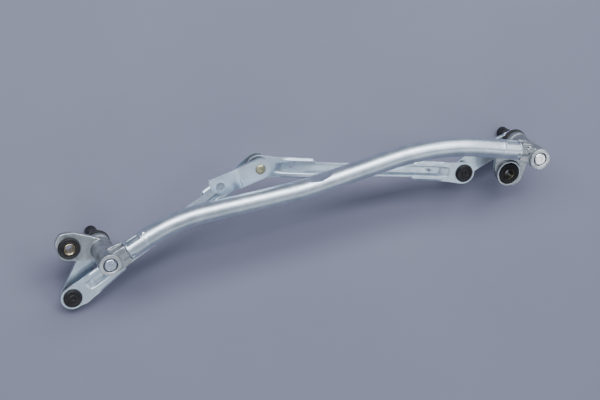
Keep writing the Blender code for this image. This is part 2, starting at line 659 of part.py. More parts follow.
def main():
    clear_scene()
    mats = {
        "zinc": make_material("zinc_plated_steel", (0.56, 0.61, 0.66), 0.34, 0.9),
        "cast": make_material("die_cast_aluminium", (0.52, 0.53, 0.50), 0.5, 0.8),
        "steel": make_material("bright_steel", (0.66, 0.67, 0.69), 0.25, 1.0),
        "dark": make_material("spring_steel", (0.10, 0.10, 0.11), 0.4, 0.8),
        "bronze": make_material("sintered_bronze", (0.45, 0.32, 0.17), 0.5, 0.9),
        "rubber": make_material("black_rubber", (0.018, 0.018, 0.02), 0.75, 0.0),
        "plastic": make_material("black_plastic", (0.014, 0.014, 0.016), 0.45, 0.0),
        "passivated": make_material("olive_passivated_steel", (0.38, 0.35, 0.22), 0.4, 0.8),
    }
    frame = make_empty("linkage_frame")
    frame_tube(frame, mats["zinc"])
    build_left_housing(frame, mats["cast"])
    build_right_housing(frame, mats["cast"])
    left_link_axis = build_side("left", Vector((0.0, 0.0, 0.0)), LEFT_BALL, LEFT_EAR_HOLE, 0.0, [105.0], frame, mats)
    build_side("right", Vector((PIVOT_SPACING, 0.0, 0.0)), RIGHT_BALL, RIGHT_EAR_HOLE, 3.6, [39.0, 197.0], frame, mats)
    crank_axis = make_empty("crank_axis", CRANK_PIN - LEFT_BALL, left_link_axis)
    motor_crank(crank_axis, mats["zinc"])
    crank_pin(crank_axis, mats["passivated"])
    pin_clip(crank_axis, mats["dark"])
    stand_on_table(frame)


main()
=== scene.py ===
"""Windshield wiper linkage: detailed pieces, finishes, floor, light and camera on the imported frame.

Shapes are given in millimetres in the linkage's own frame: x runs from the left spindle to the right
spindle, y points to the side the tube bows to, z points along the spindles to the motor side, and the
motor-side spindle faces are at z = 0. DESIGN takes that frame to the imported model's frame.
"""

import json
import math

import bmesh
import bpy
from mathutils import Matrix, Vector


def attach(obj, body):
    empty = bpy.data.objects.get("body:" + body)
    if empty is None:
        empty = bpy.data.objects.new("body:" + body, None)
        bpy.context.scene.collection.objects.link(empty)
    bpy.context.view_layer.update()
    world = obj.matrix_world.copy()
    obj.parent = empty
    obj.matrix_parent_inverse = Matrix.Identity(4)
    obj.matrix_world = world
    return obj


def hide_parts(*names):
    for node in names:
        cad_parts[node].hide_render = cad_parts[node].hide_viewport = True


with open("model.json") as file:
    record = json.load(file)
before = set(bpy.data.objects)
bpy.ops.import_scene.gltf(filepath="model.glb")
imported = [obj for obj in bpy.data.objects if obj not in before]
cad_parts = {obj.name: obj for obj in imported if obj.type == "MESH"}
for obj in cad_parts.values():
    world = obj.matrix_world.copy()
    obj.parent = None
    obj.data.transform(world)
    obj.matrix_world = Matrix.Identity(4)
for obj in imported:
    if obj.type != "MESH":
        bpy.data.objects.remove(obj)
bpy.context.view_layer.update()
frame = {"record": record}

MM = 0.001
joints = {joint["name"]: joint for joint in frame["record"]["behaviour"]["joints"]}


def design_matrix():
    """The linkage's own frame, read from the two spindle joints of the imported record."""
    left = Vector(joints["left_spindle_turn"]["pos_m"])
    right = Vector(joints["right_spindle_turn"]["pos_m"])
    z = Vector(joints["left_spindle_turn"]["axis"]).normalized()
    x = (right - left).normalized()
    rotation = Matrix((x, z.cross(x), z)).transposed().to_4x4()
    spindle_joint_z = -30.0
    return Matrix.Translation(left - z * spindle_joint_z * MM) @ rotation


DESIGN = design_matrix()

# Where things are, in millimetres.
LEFT = Vector((0.0, 0.0, 0.0))
RIGHT = Vector((450.0, 0.0, 0.0))
BALL = {"left": Vector((-33.8, -49.4, 0.0)), "right": Vector((388.0, -19.4, 0.0))}
PIN = Vector((164.6, 48.6, 0.0))
EAR_HOLE = {"left": Vector((-30.2, 9.3, 0.0)), "right": Vector((432.2, -25.3, 0.0))}
EAR_TOP = -41.0
EAR_LOW = -46.0
BALL_LEVEL = -57.4
BALL_RADIUS = 5.2
LEVER_TOP = -62.0
LEVER_PLATE = 3.9
LINK_OUTER = -53.0
LINK_PLATE = 2.0
EYE_TOP = {"left": -44.5, "right": -36.6}
CRANK_TOP = -28.0
CRANK_PLATE = 4.0
CRANK_ANGLE = math.radians(190.8)
TUBE_LEVEL = -10.0
TUBE_RADIUS = 9.72
TUBE_WALL = 1.5
TUBE_CORNERS = [(19.8, 6.3), (69.0, 26.0), (200.0, 25.2), (342.0, 39.4), (431.0, 11.6)]
TUBE_TANGENTS = [30.0, 12.0, 52.0]
DENT_X = 218.0
DENT_DEPTH = 2.4
DENT_DIRECTION = math.radians(14.0)
CRIMP_DIRECTION = math.radians(21.0)
PUNCH_DIRECTION = math.radians(112.0)


# ---------------------------------------------------------------- finishes

class Finish:
    """A node material with a Principled shader; its textures are laid out in millimetres."""

    def __init__(self, name):
        self.material = bpy.data.materials.new(name)
        self.material.use_nodes = True
        self.tree = self.material.node_tree
        self.shader = self.tree.nodes["Principled BSDF"]
        coords = self.tree.nodes.new("ShaderNodeTexCoord")
        place = self.tree.nodes.new("ShaderNodeMapping")
        place.vector_type = "TEXTURE"
        place.inputs["Location"].default_value = DESIGN.to_translation()
        place.inputs["Rotation"].default_value = DESIGN.to_euler()
        place.inputs["Scale"].default_value = (MM, MM, MM)
        self.wire(coords.outputs["Object"], place.inputs["Vector"])
        self.coords = place.outputs["Vector"]

    def wire(self, source, target):
        self.tree.links.new(source, target)

    def stretched(self, scale):
        node = self.tree.nodes.new("ShaderNodeMapping")
        node.inputs["Scale"].default_value = scale
        self.wire(self.coords, node.inputs["Vector"])
        return node.outputs["Vector"]

    def noise(self, scale, detail, roughness, stretch=None, distortion=0.0):
        node = self.tree.nodes.new("ShaderNodeTexNoise")
        node.inputs["Scale"].default_value = scale
        node.inputs["Detail"].default_value = detail
        node.inputs["Roughness"].default_value = roughness
        node.inputs["Distortion"].default_value = distortion
        self.wire(self.stretched(stretch) if stretch else self.coords, node.inputs["Vector"])
        return node.outputs["Fac"]

    def cells(self, scale):
        node = self.tree.nodes.new("ShaderNodeTexVoronoi")
        node.feature = "SMOOTH_F1"
        node.inputs["Scale"].default_value = scale
        node.inputs["Smoothness"].default_value = 0.3
        self.wire(self.coords, node.inputs["Vector"])
        return node.outputs["Distance"]

    def rings(self, centre, scale):
        """Turned rings about the z axis through a centre in millimetres."""
        shift = self.tree.nodes.new("ShaderNodeVectorMath")
        shift.operation = "SUBTRACT"
        shift.inputs[1].default_value = centre
        self.wire(self.coords, shift.inputs[0])
        node = self.tree.nodes.new("ShaderNodeTexWave")
        node.wave_type = "RINGS"
        node.rings_direction = "Z"
        node.inputs["Scale"].default_value = scale
        node.inputs["Distortion"].default_value = 0.6
        self.wire(shift.outputs["Vector"], node.inputs["Vector"])
        return node.outputs["Fac"]

    def ramp(self, value, stops):
        """stops: (position, grey or colour)."""
        node = self.tree.nodes.new("ShaderNodeValToRGB")
        elements = node.color_ramp.elements
        while len(elements) < len(stops):
            elements.new(0.5)
        for element, (position, colour) in zip(elements, stops):
            element.position = position
            rgb = colour if isinstance(colour, tuple) else (colour, colour, colour)
            element.color = (*rgb, 1.0)
        self.wire(value, node.inputs["Fac"])
        return node.outputs["Color"]

    def mix(self, factor, first, second, blend="MIX"):
        node = self.tree.nodes.new("ShaderNodeMix")
        node.data_type = "RGBA"
        node.blend_type = blend
        sockets = [node.inputs[0], node.inputs[6], node.inputs[7]]
        for socket, value in zip(sockets, (factor, first, second)):
            if isinstance(value, float):
                socket.default_value = value
            elif isinstance(value, tuple):
                socket.default_value = (*value, 1.0)
            else:
                self.wire(value, socket)
        return node.outputs[2]

    def times(self, first, second):
        return self.mix(1.0, first, second, "MULTIPLY")

    def spread(self, scale, low, high):
        """Soft patches between two values."""
        return self.ramp(self.noise(scale, 4.0, 0.6), [(0.3, low), (0.7, high)])

    def pointiness(self, low, high, dark=0.0):
        node = self.tree.nodes.new("ShaderNodeNewGeometry")
        return self.ramp(node.outputs["Pointiness"], [(low, dark), (high, 1.0)])

    def edge_wear(self, low=0.505, high=0.56):
        """White along outer edges, black elsewhere."""
        return self.pointiness(low, high)

    def crease(self):
        """Painted shade: grey in sharp inner corners, white elsewhere."""
        return self.pointiness(0.43, 0.492, dark=0.4)

    def hollow(self, distance):
        """Painted shade: dark where faces stand closer than a distance in millimetres."""
        node = self.tree.nodes.new("ShaderNodeAmbientOcclusion")
        node.samples = 4
        node.inputs["Distance"].default_value = distance * MM
        return node.outputs["AO"]

    def bump(self, height, strength, distance):
        node = self.tree.nodes.new("ShaderNodeBump")
        node.inputs["Strength"].default_value = strength
        node.inputs["Distance"].default_value = distance * MM
        self.wire(height, node.inputs["Height"])
        if self.shader.inputs["Normal"].links:
            self.wire(self.shader.inputs["Normal"].links[0].from_socket, node.inputs["Normal"])
        self.wire(node.outputs["Normal"], self.shader.inputs["Normal"])

    def set(self, **values):
        for name, value in values.items():
            socket = self.shader.inputs[name.replace("_", " ").title().replace("Ior", "IOR")]
            if isinstance(value, tuple):
                socket.default_value = (*value, 1.0)
            elif isinstance(value, float):
                socket.default_value = value
            else:
                self.wire(value, socket)
        return self


def brighter(colour, factor):
    return tuple(min(1.0, value * factor) for value in colour)


def plated(name, dark, light, roughness, stretch, grain, mottle):
    """Zinc plate: cloudy bluish patches, specks, drawn or stamped scratches and bright worn edges, with
    painted shade in hollows and inner corners.
    """
    finish = Finish(name)
    clouds = finish.noise(mottle, 5.0, 0.6, distortion=0.4)
    colour = finish.ramp(clouds, [(0.3, dark), (0.62, light)])
    specks = finish.ramp(finish.noise(0.9, 3.0, 0.7), [(0.33, 0.0), (0.42, 1.0)])
    speck_share = 0.12
    colour = finish.mix(speck_share, colour, finish.times(colour, specks))
    colour = finish.mix(finish.edge_wear(), colour, brighter(light, 1.25))
    # Painted shade: colour darkened in hollows where faces stand close together.
    shade = finish.ramp(finish.hollow(5.0), [(0.0, 0.25), (0.8, 1.0)])
    colour = finish.times(colour, shade)
    # Painted shade in tight hollows and sharp inner creases.
    corners = finish.ramp(finish.hollow(1.8), [(0.25, 0.4), (0.9, 1.0)])
    colour = finish.times(colour, finish.times(corners, finish.crease()))
    scratches = finish.noise(2.2, 3.0, 0.6, stretch)
    scratched = finish.ramp(scratches, [(0.3, roughness - 0.08), (0.7, roughness + 0.1)])
    scratch_share = 0.35
    spread = finish.mix(scratch_share, finish.spread(0.11, roughness - 0.05, roughness + 0.07), scratched)
    finish.bump(scratches, grain, 0.02)
    finish.bump(finish.noise(0.16, 3.0, 0.5), 0.2, 0.06)
    return finish.set(base_color=colour, metallic=1.0, roughness=spread).material


def cast(name):
    """Die casting: sandy grey skin with flow patches, painted shade in hollows and worn bright edges."""
    finish = Finish(name)
    dark, middle, light = (0.24, 0.265, 0.29), (0.36, 0.39, 0.42), (0.47, 0.51, 0.545)
    worn = (0.82, 0.86, 0.90)
    patches = finish.noise(0.09, 6.0, 0.62, distortion=0.8)
    colour = finish.ramp(patches, [(0.28, dark), (0.5, middle), (0.72, light)])
    sand = finish.noise(2.6, 5.0, 0.7)
    sand_share = 0.35
    colour = finish.mix(sand_share, colour, finish.times(colour, finish.ramp(sand, [(0.3, 0.5), (0.6, 1.0)])))
    colour = finish.mix(finish.edge_wear(0.51, 0.58), colour, worn)
    # Painted shade: colour darkened in hollows where faces stand close together.
    shade = finish.ramp(finish.hollow(9.0), [(0.0, 0.15), (0.9, 1.0)])
    colour = finish.times(colour, shade)
    finish.bump(sand, 0.45, 0.09)
    finish.bump(finish.cells(0.55), 0.25, 0.12)
    finish.bump(finish.noise(0.12, 2.0, 0.5), 0.4, 0.3)
    return finish.set(base_color=colour, metallic=0.88, roughness=finish.spread(0.3, 0.36, 0.50)).material


def machined(name, colour, roughness, centre, pitch=1.1):
    """A turned face: fine rings about an axis, with dull and bright patches."""
    finish = Finish(name)
    rings = finish.rings(centre, pitch)
    patches = finish.noise(0.35, 5.0, 0.65)
    dull = tuple(value * 0.72 for value in colour)
    tint = finish.ramp(patches, [(0.3, dull), (0.68, colour)])
    mark_share = 0.35
    tint = finish.mix(mark_share, tint, finish.times(tint, finish.ramp(rings, [(0.2, 0.6), (0.7, 1.0)])))
    tint = finish.mix(finish.edge_wear(), tint, brighter(colour, 1.3))
    spread = finish.spread(0.7, roughness - 0.06, roughness + 0.08)
    finish.bump(rings, 0.3, 0.03)
    finish.bump(patches, 0.2, 0.05)
    return finish.set(base_color=tint, metallic=1.0, roughness=spread).material


def moulded(name, colour, roughness, grain_scale, grain):
    """Black rubber or plastic: fine grain, a little grey dust and paler rubbed edges."""
    finish = Finish(name)
    lighter = tuple(value * 2.1 + 0.006 for value in colour)
    rubbed = tuple(value * 3.0 + 0.02 for value in colour)
    dust, dust_share = (0.30, 0.30, 0.31), 0.05
    tint = finish.ramp(finish.noise(0.22, 5.0, 0.65), [(0.35, colour), (0.72, lighter)])
    tint = finish.mix(finish.edge_wear(0.52, 0.60), tint, rubbed)
    dusty = finish.ramp(finish.noise(1.4, 6.0, 0.75), [(0.56, 0.0), (0.72, dust_share)])
    tint = finish.mix(dusty, tint, dust)
    spread = finish.spread(0.5, roughness - 0.07, roughness + 0.09)
    finish.bump(finish.noise(grain_scale, 4.0, 0.6), grain, 0.05)
    return finish.set(base_color=tint, metallic=0.0, roughness=spread, specular_ior_level=0.3).material


DRAWN = (0.05, 1.2, 1.2)
STAMPED = (0.5, 1.2, 1.2)
STEEL = (0.70, 0.71, 0.74)
FINISHES = {
    "tube": plated("tube_zinc", (0.49, 0.57, 0.65), (0.65, 0.73, 0.82), 0.38, DRAWN, 0.04, 0.06),
    "pressing": plated("pressing_zinc", (0.49, 0.58, 0.67), (0.64, 0.73, 0.83), 0.42, STAMPED, 0.18, 0.09),
    "cast": cast("cast_skin"),
    # One turned steel in two tones: darker and bluish on the left spindle as painted shade, near white on the
    # right as a painted highlight.
    "left_steel": machined("left_turned_steel_painted_shade", (0.58, 0.64, 0.78), 0.34, LEFT),
    "right_steel": machined("right_turned_steel_painted_highlight", (0.95, 0.97, 1.0), 0.30, RIGHT),
    "left_ball": machined("left_ball_steel", STEEL, 0.2, BALL["left"]),
    "right_ball": machined("right_ball_steel", STEEL, 0.2, BALL["right"]),
    "pin": machined("pin_passivated", (0.46, 0.44, 0.30), 0.36, PIN, 0.9),
    "left_sleeve": machined("left_sleeve_passivated", (0.58, 0.50, 0.32), 0.3, EAR_HOLE["left"], 1.4),
    # The right spacer sleeve is the same passivated part as the left, painted far darker as painted shade
    # deep inside its grommet.
    "right_sleeve": machined("right_sleeve_passivated_painted_shade", (0.15, 0.14, 0.10), 0.42, EAR_HOLE["right"], 1.4),
    "bronze": machined("oiled_bronze", (0.46, 0.32, 0.17), 0.42, LEFT, 0.8),
    "spring": machined("phosphated_spring", (0.11, 0.11, 0.125), 0.38, LEFT, 0.8),
    "rubber": moulded("grommet_rubber", (0.010, 0.010, 0.012), 0.62, 2.4, 0.5),
    "plastic": moulded("socket_plastic", (0.008, 0.008, 0.010), 0.42, 3.2, 0.35),
    "soft": moulded("cap_vinyl", (0.007, 0.007, 0.009), 0.48, 1.8, 0.4),
}


# ---------------------------------------------------------------- mesh tools

def new_object(name, bm):
    """An object from a bmesh in millimetres of the linkage's frame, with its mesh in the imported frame."""
    bmesh.ops.recalc_face_normals(bm, faces=bm.faces)
    bm.transform(DESIGN @ Matrix.Scale(MM, 4))
    mesh = bpy.data.meshes.new(name)
    bm.to_mesh(mesh)
    bm.free()
    piece = bpy.data.objects.new(name, mesh)
    bpy.context.collection.objects.link(piece)
    return piece


def apply_modifiers(piece):
    bpy.context.view_layer.update()
    evaluated = piece.evaluated_get(bpy.context.evaluated_depsgraph_get())
    mesh = bpy.data.meshes.new_from_object(evaluated)
    old = piece.data
    piece.modifiers.clear()
    piece.data = mesh
    mesh.name = piece.name
    bpy.data.meshes.remove(old)


def clean(piece):
    """Merge the sliver edges that a cut leaves."""
    bm = bmesh.new()
    bm.from_mesh(piece.data)
    bmesh.ops.remove_doubles(bm, verts=bm.verts, dist=0.02 * MM)
    bmesh.ops.dissolve_degenerate(bm, edges=bm.edges, dist=0.01 * MM)
    bm.to_mesh(piece.data)
    bm.free()


def cut(piece, *cutters):
    """Cut the piece with helper solids, which are then removed."""
    for cutter in cutters:
        boolean = piece.modifiers.new("cut", "BOOLEAN")
        boolean.operation = "DIFFERENCE"
        boolean.solver = "EXACT"
        boolean.object = cutter
    apply_modifiers(piece)
    for cutter in cutters:
        bpy.data.objects.remove(cutter, do_unlink=True)
    clean(piece)


def round_edges(piece, width, segments, angle):
    edge = piece.modifiers.new("edge", "BEVEL")
    edge.width = width * MM
    edge.segments = segments
    edge.limit_method = "ANGLE"
    edge.angle_limit = math.radians(angle)
    edge.use_clamp_overlap = True
    apply_modifiers(piece)
    clean(piece)


def add_piece(piece, finish, body, *replaced, sharp=40.0, weighted=False):
    """Shade a piece, give it its finish, and put it on its body in place of its CAD nodes."""
    mesh = piece.data
    mesh.materials.clear()
    mesh.materials.append(FINISHES[finish])
    mesh.shade_smooth()
    mesh.set_sharp_from_angle(angle=math.radians(sharp))
    if weighted:
        normals = piece.modifiers.new("normals", "WEIGHTED_NORMAL")
        normals.keep_sharp = True
        normals.weight = 80
    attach(piece, body)
    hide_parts(*replaced)


def bend(start, corner, end, t):
    """A point on the curve that rounds a corner between start and end."""
    return start * (1 - t) ** 2 + corner * (2 * t * (1 - t)) + end * t ** 2


def filleted(points, radius, closed, steps=3):
    """The polyline with its corners rounded; a third value on a point is that corner's own radius."""
    result = []
    count = len(points)
    for index, point in enumerate(points):
        here = Vector(point[:2])
        before = Vector(points[index - 1][:2]) - here
        after = Vector(points[(index + 1) % count][:2]) - here
        size = point[2] if len(point) > 2 else radius
        at_end = not closed and index in (0, count - 1)
        if at_end or size == 0.0 or before.angle(after) > math.radians(172.0):
            result.append(here)
            continue
        reach = size / math.tan(before.angle(after) / 2.0)
        reach = min(reach, 0.45 * before.length, 0.45 * after.length)
        start = here + before.normalized() * reach
        end = here + after.normalized() * reach
        result += [bend(start, here, end, step / steps) for step in range(steps + 1)]
    return result


def turned_bmesh(profile, centre, sides=72, closed=False, radius=0.35, wave=None):
    """Turn (radius, z) points about z. wave(angle, radius, z) may return a changed radius."""
    bm = bmesh.new()
    rings = []
    for point in filleted(profile, radius, closed):
        height = centre[2] + point.y
        if point.x < 1e-6:
            rings.append([bm.verts.new((centre[0], centre[1], height))] * sides)
            continue
        ring = []
        for step in range(sides):
            angle = 2.0 * math.pi * step / sides
            reach = wave(angle, point.x, point.y) if wave else point.x
            spot = (centre[0] + reach * math.cos(angle), centre[1] + reach * math.sin(angle), height)
            ring.append(bm.verts.new(spot))
        rings.append(ring)
    pairs = list(zip(rings, rings[1:]))
    if closed:
        pairs.append((rings[-1], rings[0]))
    for low, high in pairs:
        for step in range(sides):
            after = (step + 1) % sides
            corners = list(dict.fromkeys([low[step], low[after], high[after], high[step]]))
            if len(corners) > 2:
                bm.faces.new(corners)
    return bm


def join_rings(bm, first, second):
    """Faces between two closed rings with the same number of vertices."""
    for step in range(len(first)):
        after = (step + 1) % len(first)
        bm.faces.new((first[step], first[after], second[after], second[step]))


def turned(name, profile, centre, **options):
    return new_object(name, turned_bmesh(profile, centre, **options))


def arc(centre, radius, start, end, steps):
    """Points on an arc, angles in degrees."""
    turn = [math.radians(start + (end - start) * step / steps) for step in range(steps + 1)]
    return [(centre[0] + radius * math.cos(angle), centre[1] + radius * math.sin(angle)) for angle in turn]


def add_slab(bm, outline, top, bottom, edge=0.0):
    """A plate with its rim rounded by edge, added to the bmesh."""
    low = [bm.verts.new((x, y, bottom)) for x, y in outline]
    high = [bm.verts.new((x, y, top)) for x, y in outline]
    caps = [bm.faces.new(low), bm.faces.new(high)]
    for step in range(len(outline)):
        after = (step + 1) % len(outline)
        bm.faces.new((low[step], low[after], high[after], high[step]))
    if edge:
        rim = [side for cap in caps for side in cap.edges]
        bmesh.ops.bevel(bm, geom=rim, offset=edge, segments=2, profile=0.5, affect="EDGES")


def slab(name, outline, top, bottom, edge=0.0):
    bm = bmesh.new()
    add_slab(bm, outline, top, bottom, edge)
    return new_object(name, bm)


def drill(name, radius, top, bottom, centre, sides=64):
    return slab(name, arc(centre, radius, 0.0, 360.0 - 360.0 / sides, sides - 1), top, bottom)


def ease(value, low, high):
    """0 below low, 1 above high, and a smooth step between."""
    share = min(max((value - low) / (high - low), 0.0), 1.0)
    return share * share * (3.0 - 2.0 * share)


def band(value, low, full, still, gone):
    """1 from full to still, 0 below low and above gone, with smooth steps between."""
    return ease(value, low, full) * (1.0 - ease(value, still, gone))


# ---------------------------------------------------------------- tube

def tube_path():
    """Points on the tube's centre line, and the distance of each from the left end."""
    dense = [Vector(TUBE_CORNERS[0])]
    bends = zip(TUBE_CORNERS[1:-1], TUBE_CORNERS, TUBE_CORNERS[2:], TUBE_TANGENTS)
    for corner, last, after, reach in bends:
        here = Vector(corner)
        start = here + (Vector(last) - here).normalized() * reach
        end = here + (Vector(after) - here).normalized() * reach
        dense += [bend(start, here, end, step / 48) for step in range(49)]
    dense.append(Vector(TUBE_CORNERS[-1]))
    lengths = [0.0]
    for first, second in zip(dense, dense[1:]):
        lengths.append(lengths[-1] + (second - first).length)
    total = lengths[-1]
    wanted = []
    along = 0.0
    while along < total:
        wanted.append(along)
        near_end = min(along, total - along) < 24.0
        near_dent = 175.0 < along < 232.0
        along += 0.7 if near_end or near_dent else 2.4
    wanted.append(total)
    path = []
    index = 0
    for along in wanted:
        while index < len(dense) - 2 and lengths[index + 1] < along:
            index += 1
        share = (along - lengths[index]) / (lengths[index + 1] - lengths[index])
        path.append(dense[index].lerp(dense[index + 1], share))
    return path, wanted


def skin_offset(angle, radius, distance, near, dent, crimp):
    """Sideways and upward offset of a point of the tube's skin, with the dent, crimp, punch mark and knob."""
    across, rise = radius * math.cos(angle), radius * math.sin(angle)
    over = across * math.cos(DENT_DIRECTION) + rise * math.sin(DENT_DIRECTION) - (radius - dent)
    if dent > 0.0 and over > 0.0:
        across -= over * math.cos(DENT_DIRECTION)
        rise -= over * math.sin(DENT_DIRECTION)
    turn = (angle - CRIMP_DIRECTION + math.pi) % (2.0 * math.pi) - math.pi
    pocket = crimp * (1.0 - ease(abs(turn) * radius, 2.8, 4.0))
    punch_place, knob_place = 2.6, 21.5
    punch = 1.1 * math.exp(-((near - punch_place) ** 2 + (radius * (angle - PUNCH_DIRECTION)) ** 2) / 3.2)
    knob = 0.9 * math.exp(-((distance - knob_place) ** 2 + (radius * (angle - CRIMP_DIRECTION)) ** 2) / 1.2)
    for depth in (pocket, punch, -knob):
        across -= depth * math.cos(angle)
        rise -= depth * math.sin(angle)
    return across, rise


def build_tube():
    path, distances = tube_path()
    total = distances[-1]
    sides = 84
    inner_stride = 5
    bm = bmesh.new()
    skins = []
    for is_inner in (0, 1):
        base = TUBE_RADIUS - TUBE_WALL * is_inner
        rings = []
        for index, (point, distance) in enumerate(zip(path, distances)):
            if is_inner and index % inner_stride and index != len(path) - 1:
                continue
            run = (path[min(index + 1, len(path) - 1)] - path[max(index - 1, 0)]).normalized()
            side = Vector((-run.y, run.x))
            near = min(distance, total - distance)
            lip = 0.0 if is_inner else 0.55 * (1.0 - min(near / 0.9, 1.0)) ** 2
            bead = 0.16 * band(near, 18.5, 20.0, 20.5, 22.0) * (1 - is_inner)
            radius = base - lip + bead
            dent = DENT_DEPTH * max(0.0, 1.0 - (abs(point.x - DENT_X) / 14.0) ** 1.3)
            crimp = 0.9 * band(near, 2.0, 3.4, 15.4, 16.8) * (1 - is_inner)
            ring = []
            for step in range(sides):
                angle = 2.0 * math.pi * step / sides
                across, rise = skin_offset(angle, radius, distance, near, dent, crimp)
                spot = point + side * across
                ring.append(bm.verts.new((spot.x, spot.y, TUBE_LEVEL + rise)))
            rings.append(ring)
        skins.append(rings)
    for rings in skins:
        for first, second in zip(rings, rings[1:]):
            join_rings(bm, first, second)
    for end in (0, -1):
        join_rings(bm, skins[0][end], skins[1][end])
    add_piece(new_object("bent_tube", bm), "tube", "frame", "frame_tube", sharp=28.0)


# ---------------------------------------------------------------- castings

def beside_tube(end, into, points):
    """Points given as (distance into the tube, distance to its left) in the linkage's x and y."""
    run = (Vector(into) - Vector(end)).normalized()
    side = Vector((-run.y, run.x))
    return [tuple(Vector(end) + run * ahead + side * across) for ahead, across in points]


def merge(bm, part):
    """Move everything of one bmesh into another."""
    mesh = bpy.data.meshes.new("part")
    part.to_mesh(mesh)
    part.free()
    bm.from_mesh(mesh)
    bpy.data.meshes.remove(mesh)


def add_plug(bm, end, into):
    """The plug inside the tube's end."""
    plug = turned_bmesh([(0.0, -8.0), (7.9, -8.0), (7.9, 20.0), (6.4, 22.0), (0.0, 22.0)], LEFT, sides=40)
    run = Vector((into[0] - end[0], into[1] - end[1], 0.0)).normalized()
    plug.transform(Matrix.Translation((*end, TUBE_LEVEL)) @ run.to_track_quat("Z", "Y").to_matrix().to_4x4())
    merge(bm, plug)


def add_turned(bm, profile, centre, closed=False):
    merge(bm, turned_bmesh(profile, centre, sides=96, closed=closed))


def cast_skin(name, bm):
    """Fuse overlapping solids into one skin with soft cast corners."""
    piece = new_object(name, bm)
    remesh = piece.modifiers.new("fuse", "REMESH")
    remesh.mode = "VOXEL"
    remesh.voxel_size = 0.62 * MM
    soften = piece.modifiers.new("soften", "SMOOTH")
    soften.factor = 0.5
    soften.iterations = 4
    apply_modifiers(piece)
    return piece


BARREL = [(0.0, -0.1), (10.9, -0.1), (11.0, -15.0), (10.2, -22.0), (10.2, -48.6), (11.7, -50.2),
          (11.7, -55.9), (0.0, -55.9)]
# Levels of the I-section arm beside the tube's end, and of the rib that carries the ear.
CAP_LOW = -6.4
WEB = (-5.6, -14.5)
FOOT = (-13.2, -17.3)
RIB = (-16.0, -42.8)


def finish_casting(side, piece, centre):
    """Machine the bore, its counterbores, the upper face and the ear hole, and put the casting in place."""
    bore = [(0.0, 2.0), (7.5, 2.0), (7.5, -0.3), (7.1, -0.7), (7.1, -2.3), (7.4, -2.3), (7.4, -17.6),
            (6.8, -17.6), (6.8, -43.4), (7.4, -43.4), (7.4, -55.2), (8.2, -56.0), (8.2, -60.0), (0.0, -60.0)]
    lid = [(0.0, 4.0), (16.0, 4.0), (16.0, -0.3), (0.0, -0.3)]
    cut(piece, turned(side + "_bore", bore, centre, radius=0.0, sides=80),
        turned(side + "_lid", lid, centre, radius=0.0, sides=48),
        drill(side + "_ear_drill", 8.2, EAR_TOP + 6.0, EAR_LOW - 6.0, EAR_HOLE[side]))
    add_piece(piece, "cast", "frame", side + "_pivot_housing", sharp=42.0)


def build_left_casting():
    end, into = TUBE_CORNERS[0], TUBE_CORNERS[1]
    bm = bmesh.new()
    add_turned(bm, BARREL, LEFT)
    outline = [(1.0, -11.0), (8.0, -9.4)] + beside_tube(end, into, [(-0.5, -9.4), (-0.5, 9.2)])
    outline += [(4.0, 10.8), (-4.6, 8.0), (-7.0, 0.0)]
    add_slab(bm, outline, -3.0, CAP_LOW)
    web = [(1.0, -10.0), (8.0, -8.4)] + beside_tube(end, into, [(-0.5, -8.6), (-0.5, 8.0)])
    web += [(4.6, 9.6), (-4.0, 7.0), (-6.0, 0.0)]
    add_slab(bm, web, *WEB)
    foot = [(1.0, -10.6), (8.0, -9.0)] + beside_tube(end, into, [(-0.5, -8.8), (-0.5, 9.6)])
    foot += [(3.4, 12.2), (-4.6, 9.2), (-7.0, 0.0)]
    add_slab(bm, foot, *FOOT)
    ear = [(-43.2, 15.2), (-37.9, 25.2), (-24.0, 24.0), (-8.0, 16.0), (5.0, 9.0), (3.0, -9.0), (-9.0, -9.4),
           (-26.0, -5.7), (-40.4, -1.6)]
    add_slab(bm, filleted(ear, 9.0, True, 8), EAR_TOP, EAR_LOW)
    boss = [(8.1, EAR_TOP - 1.0), (8.1, EAR_TOP + 0.25), (11.6, EAR_TOP + 0.25), (12.3, EAR_TOP - 1.0)]
    add_turned(bm, boss, EAR_HOLE["left"], closed=True)
    add_slab(bm, [(0.0, -1.5), (0.0, 1.5), (11.4, 6.6), (12.4, 4.0)], *RIB)
    add_plug(bm, end, into)
    finish_casting("left", cast_skin("left_casting", bm), LEFT)


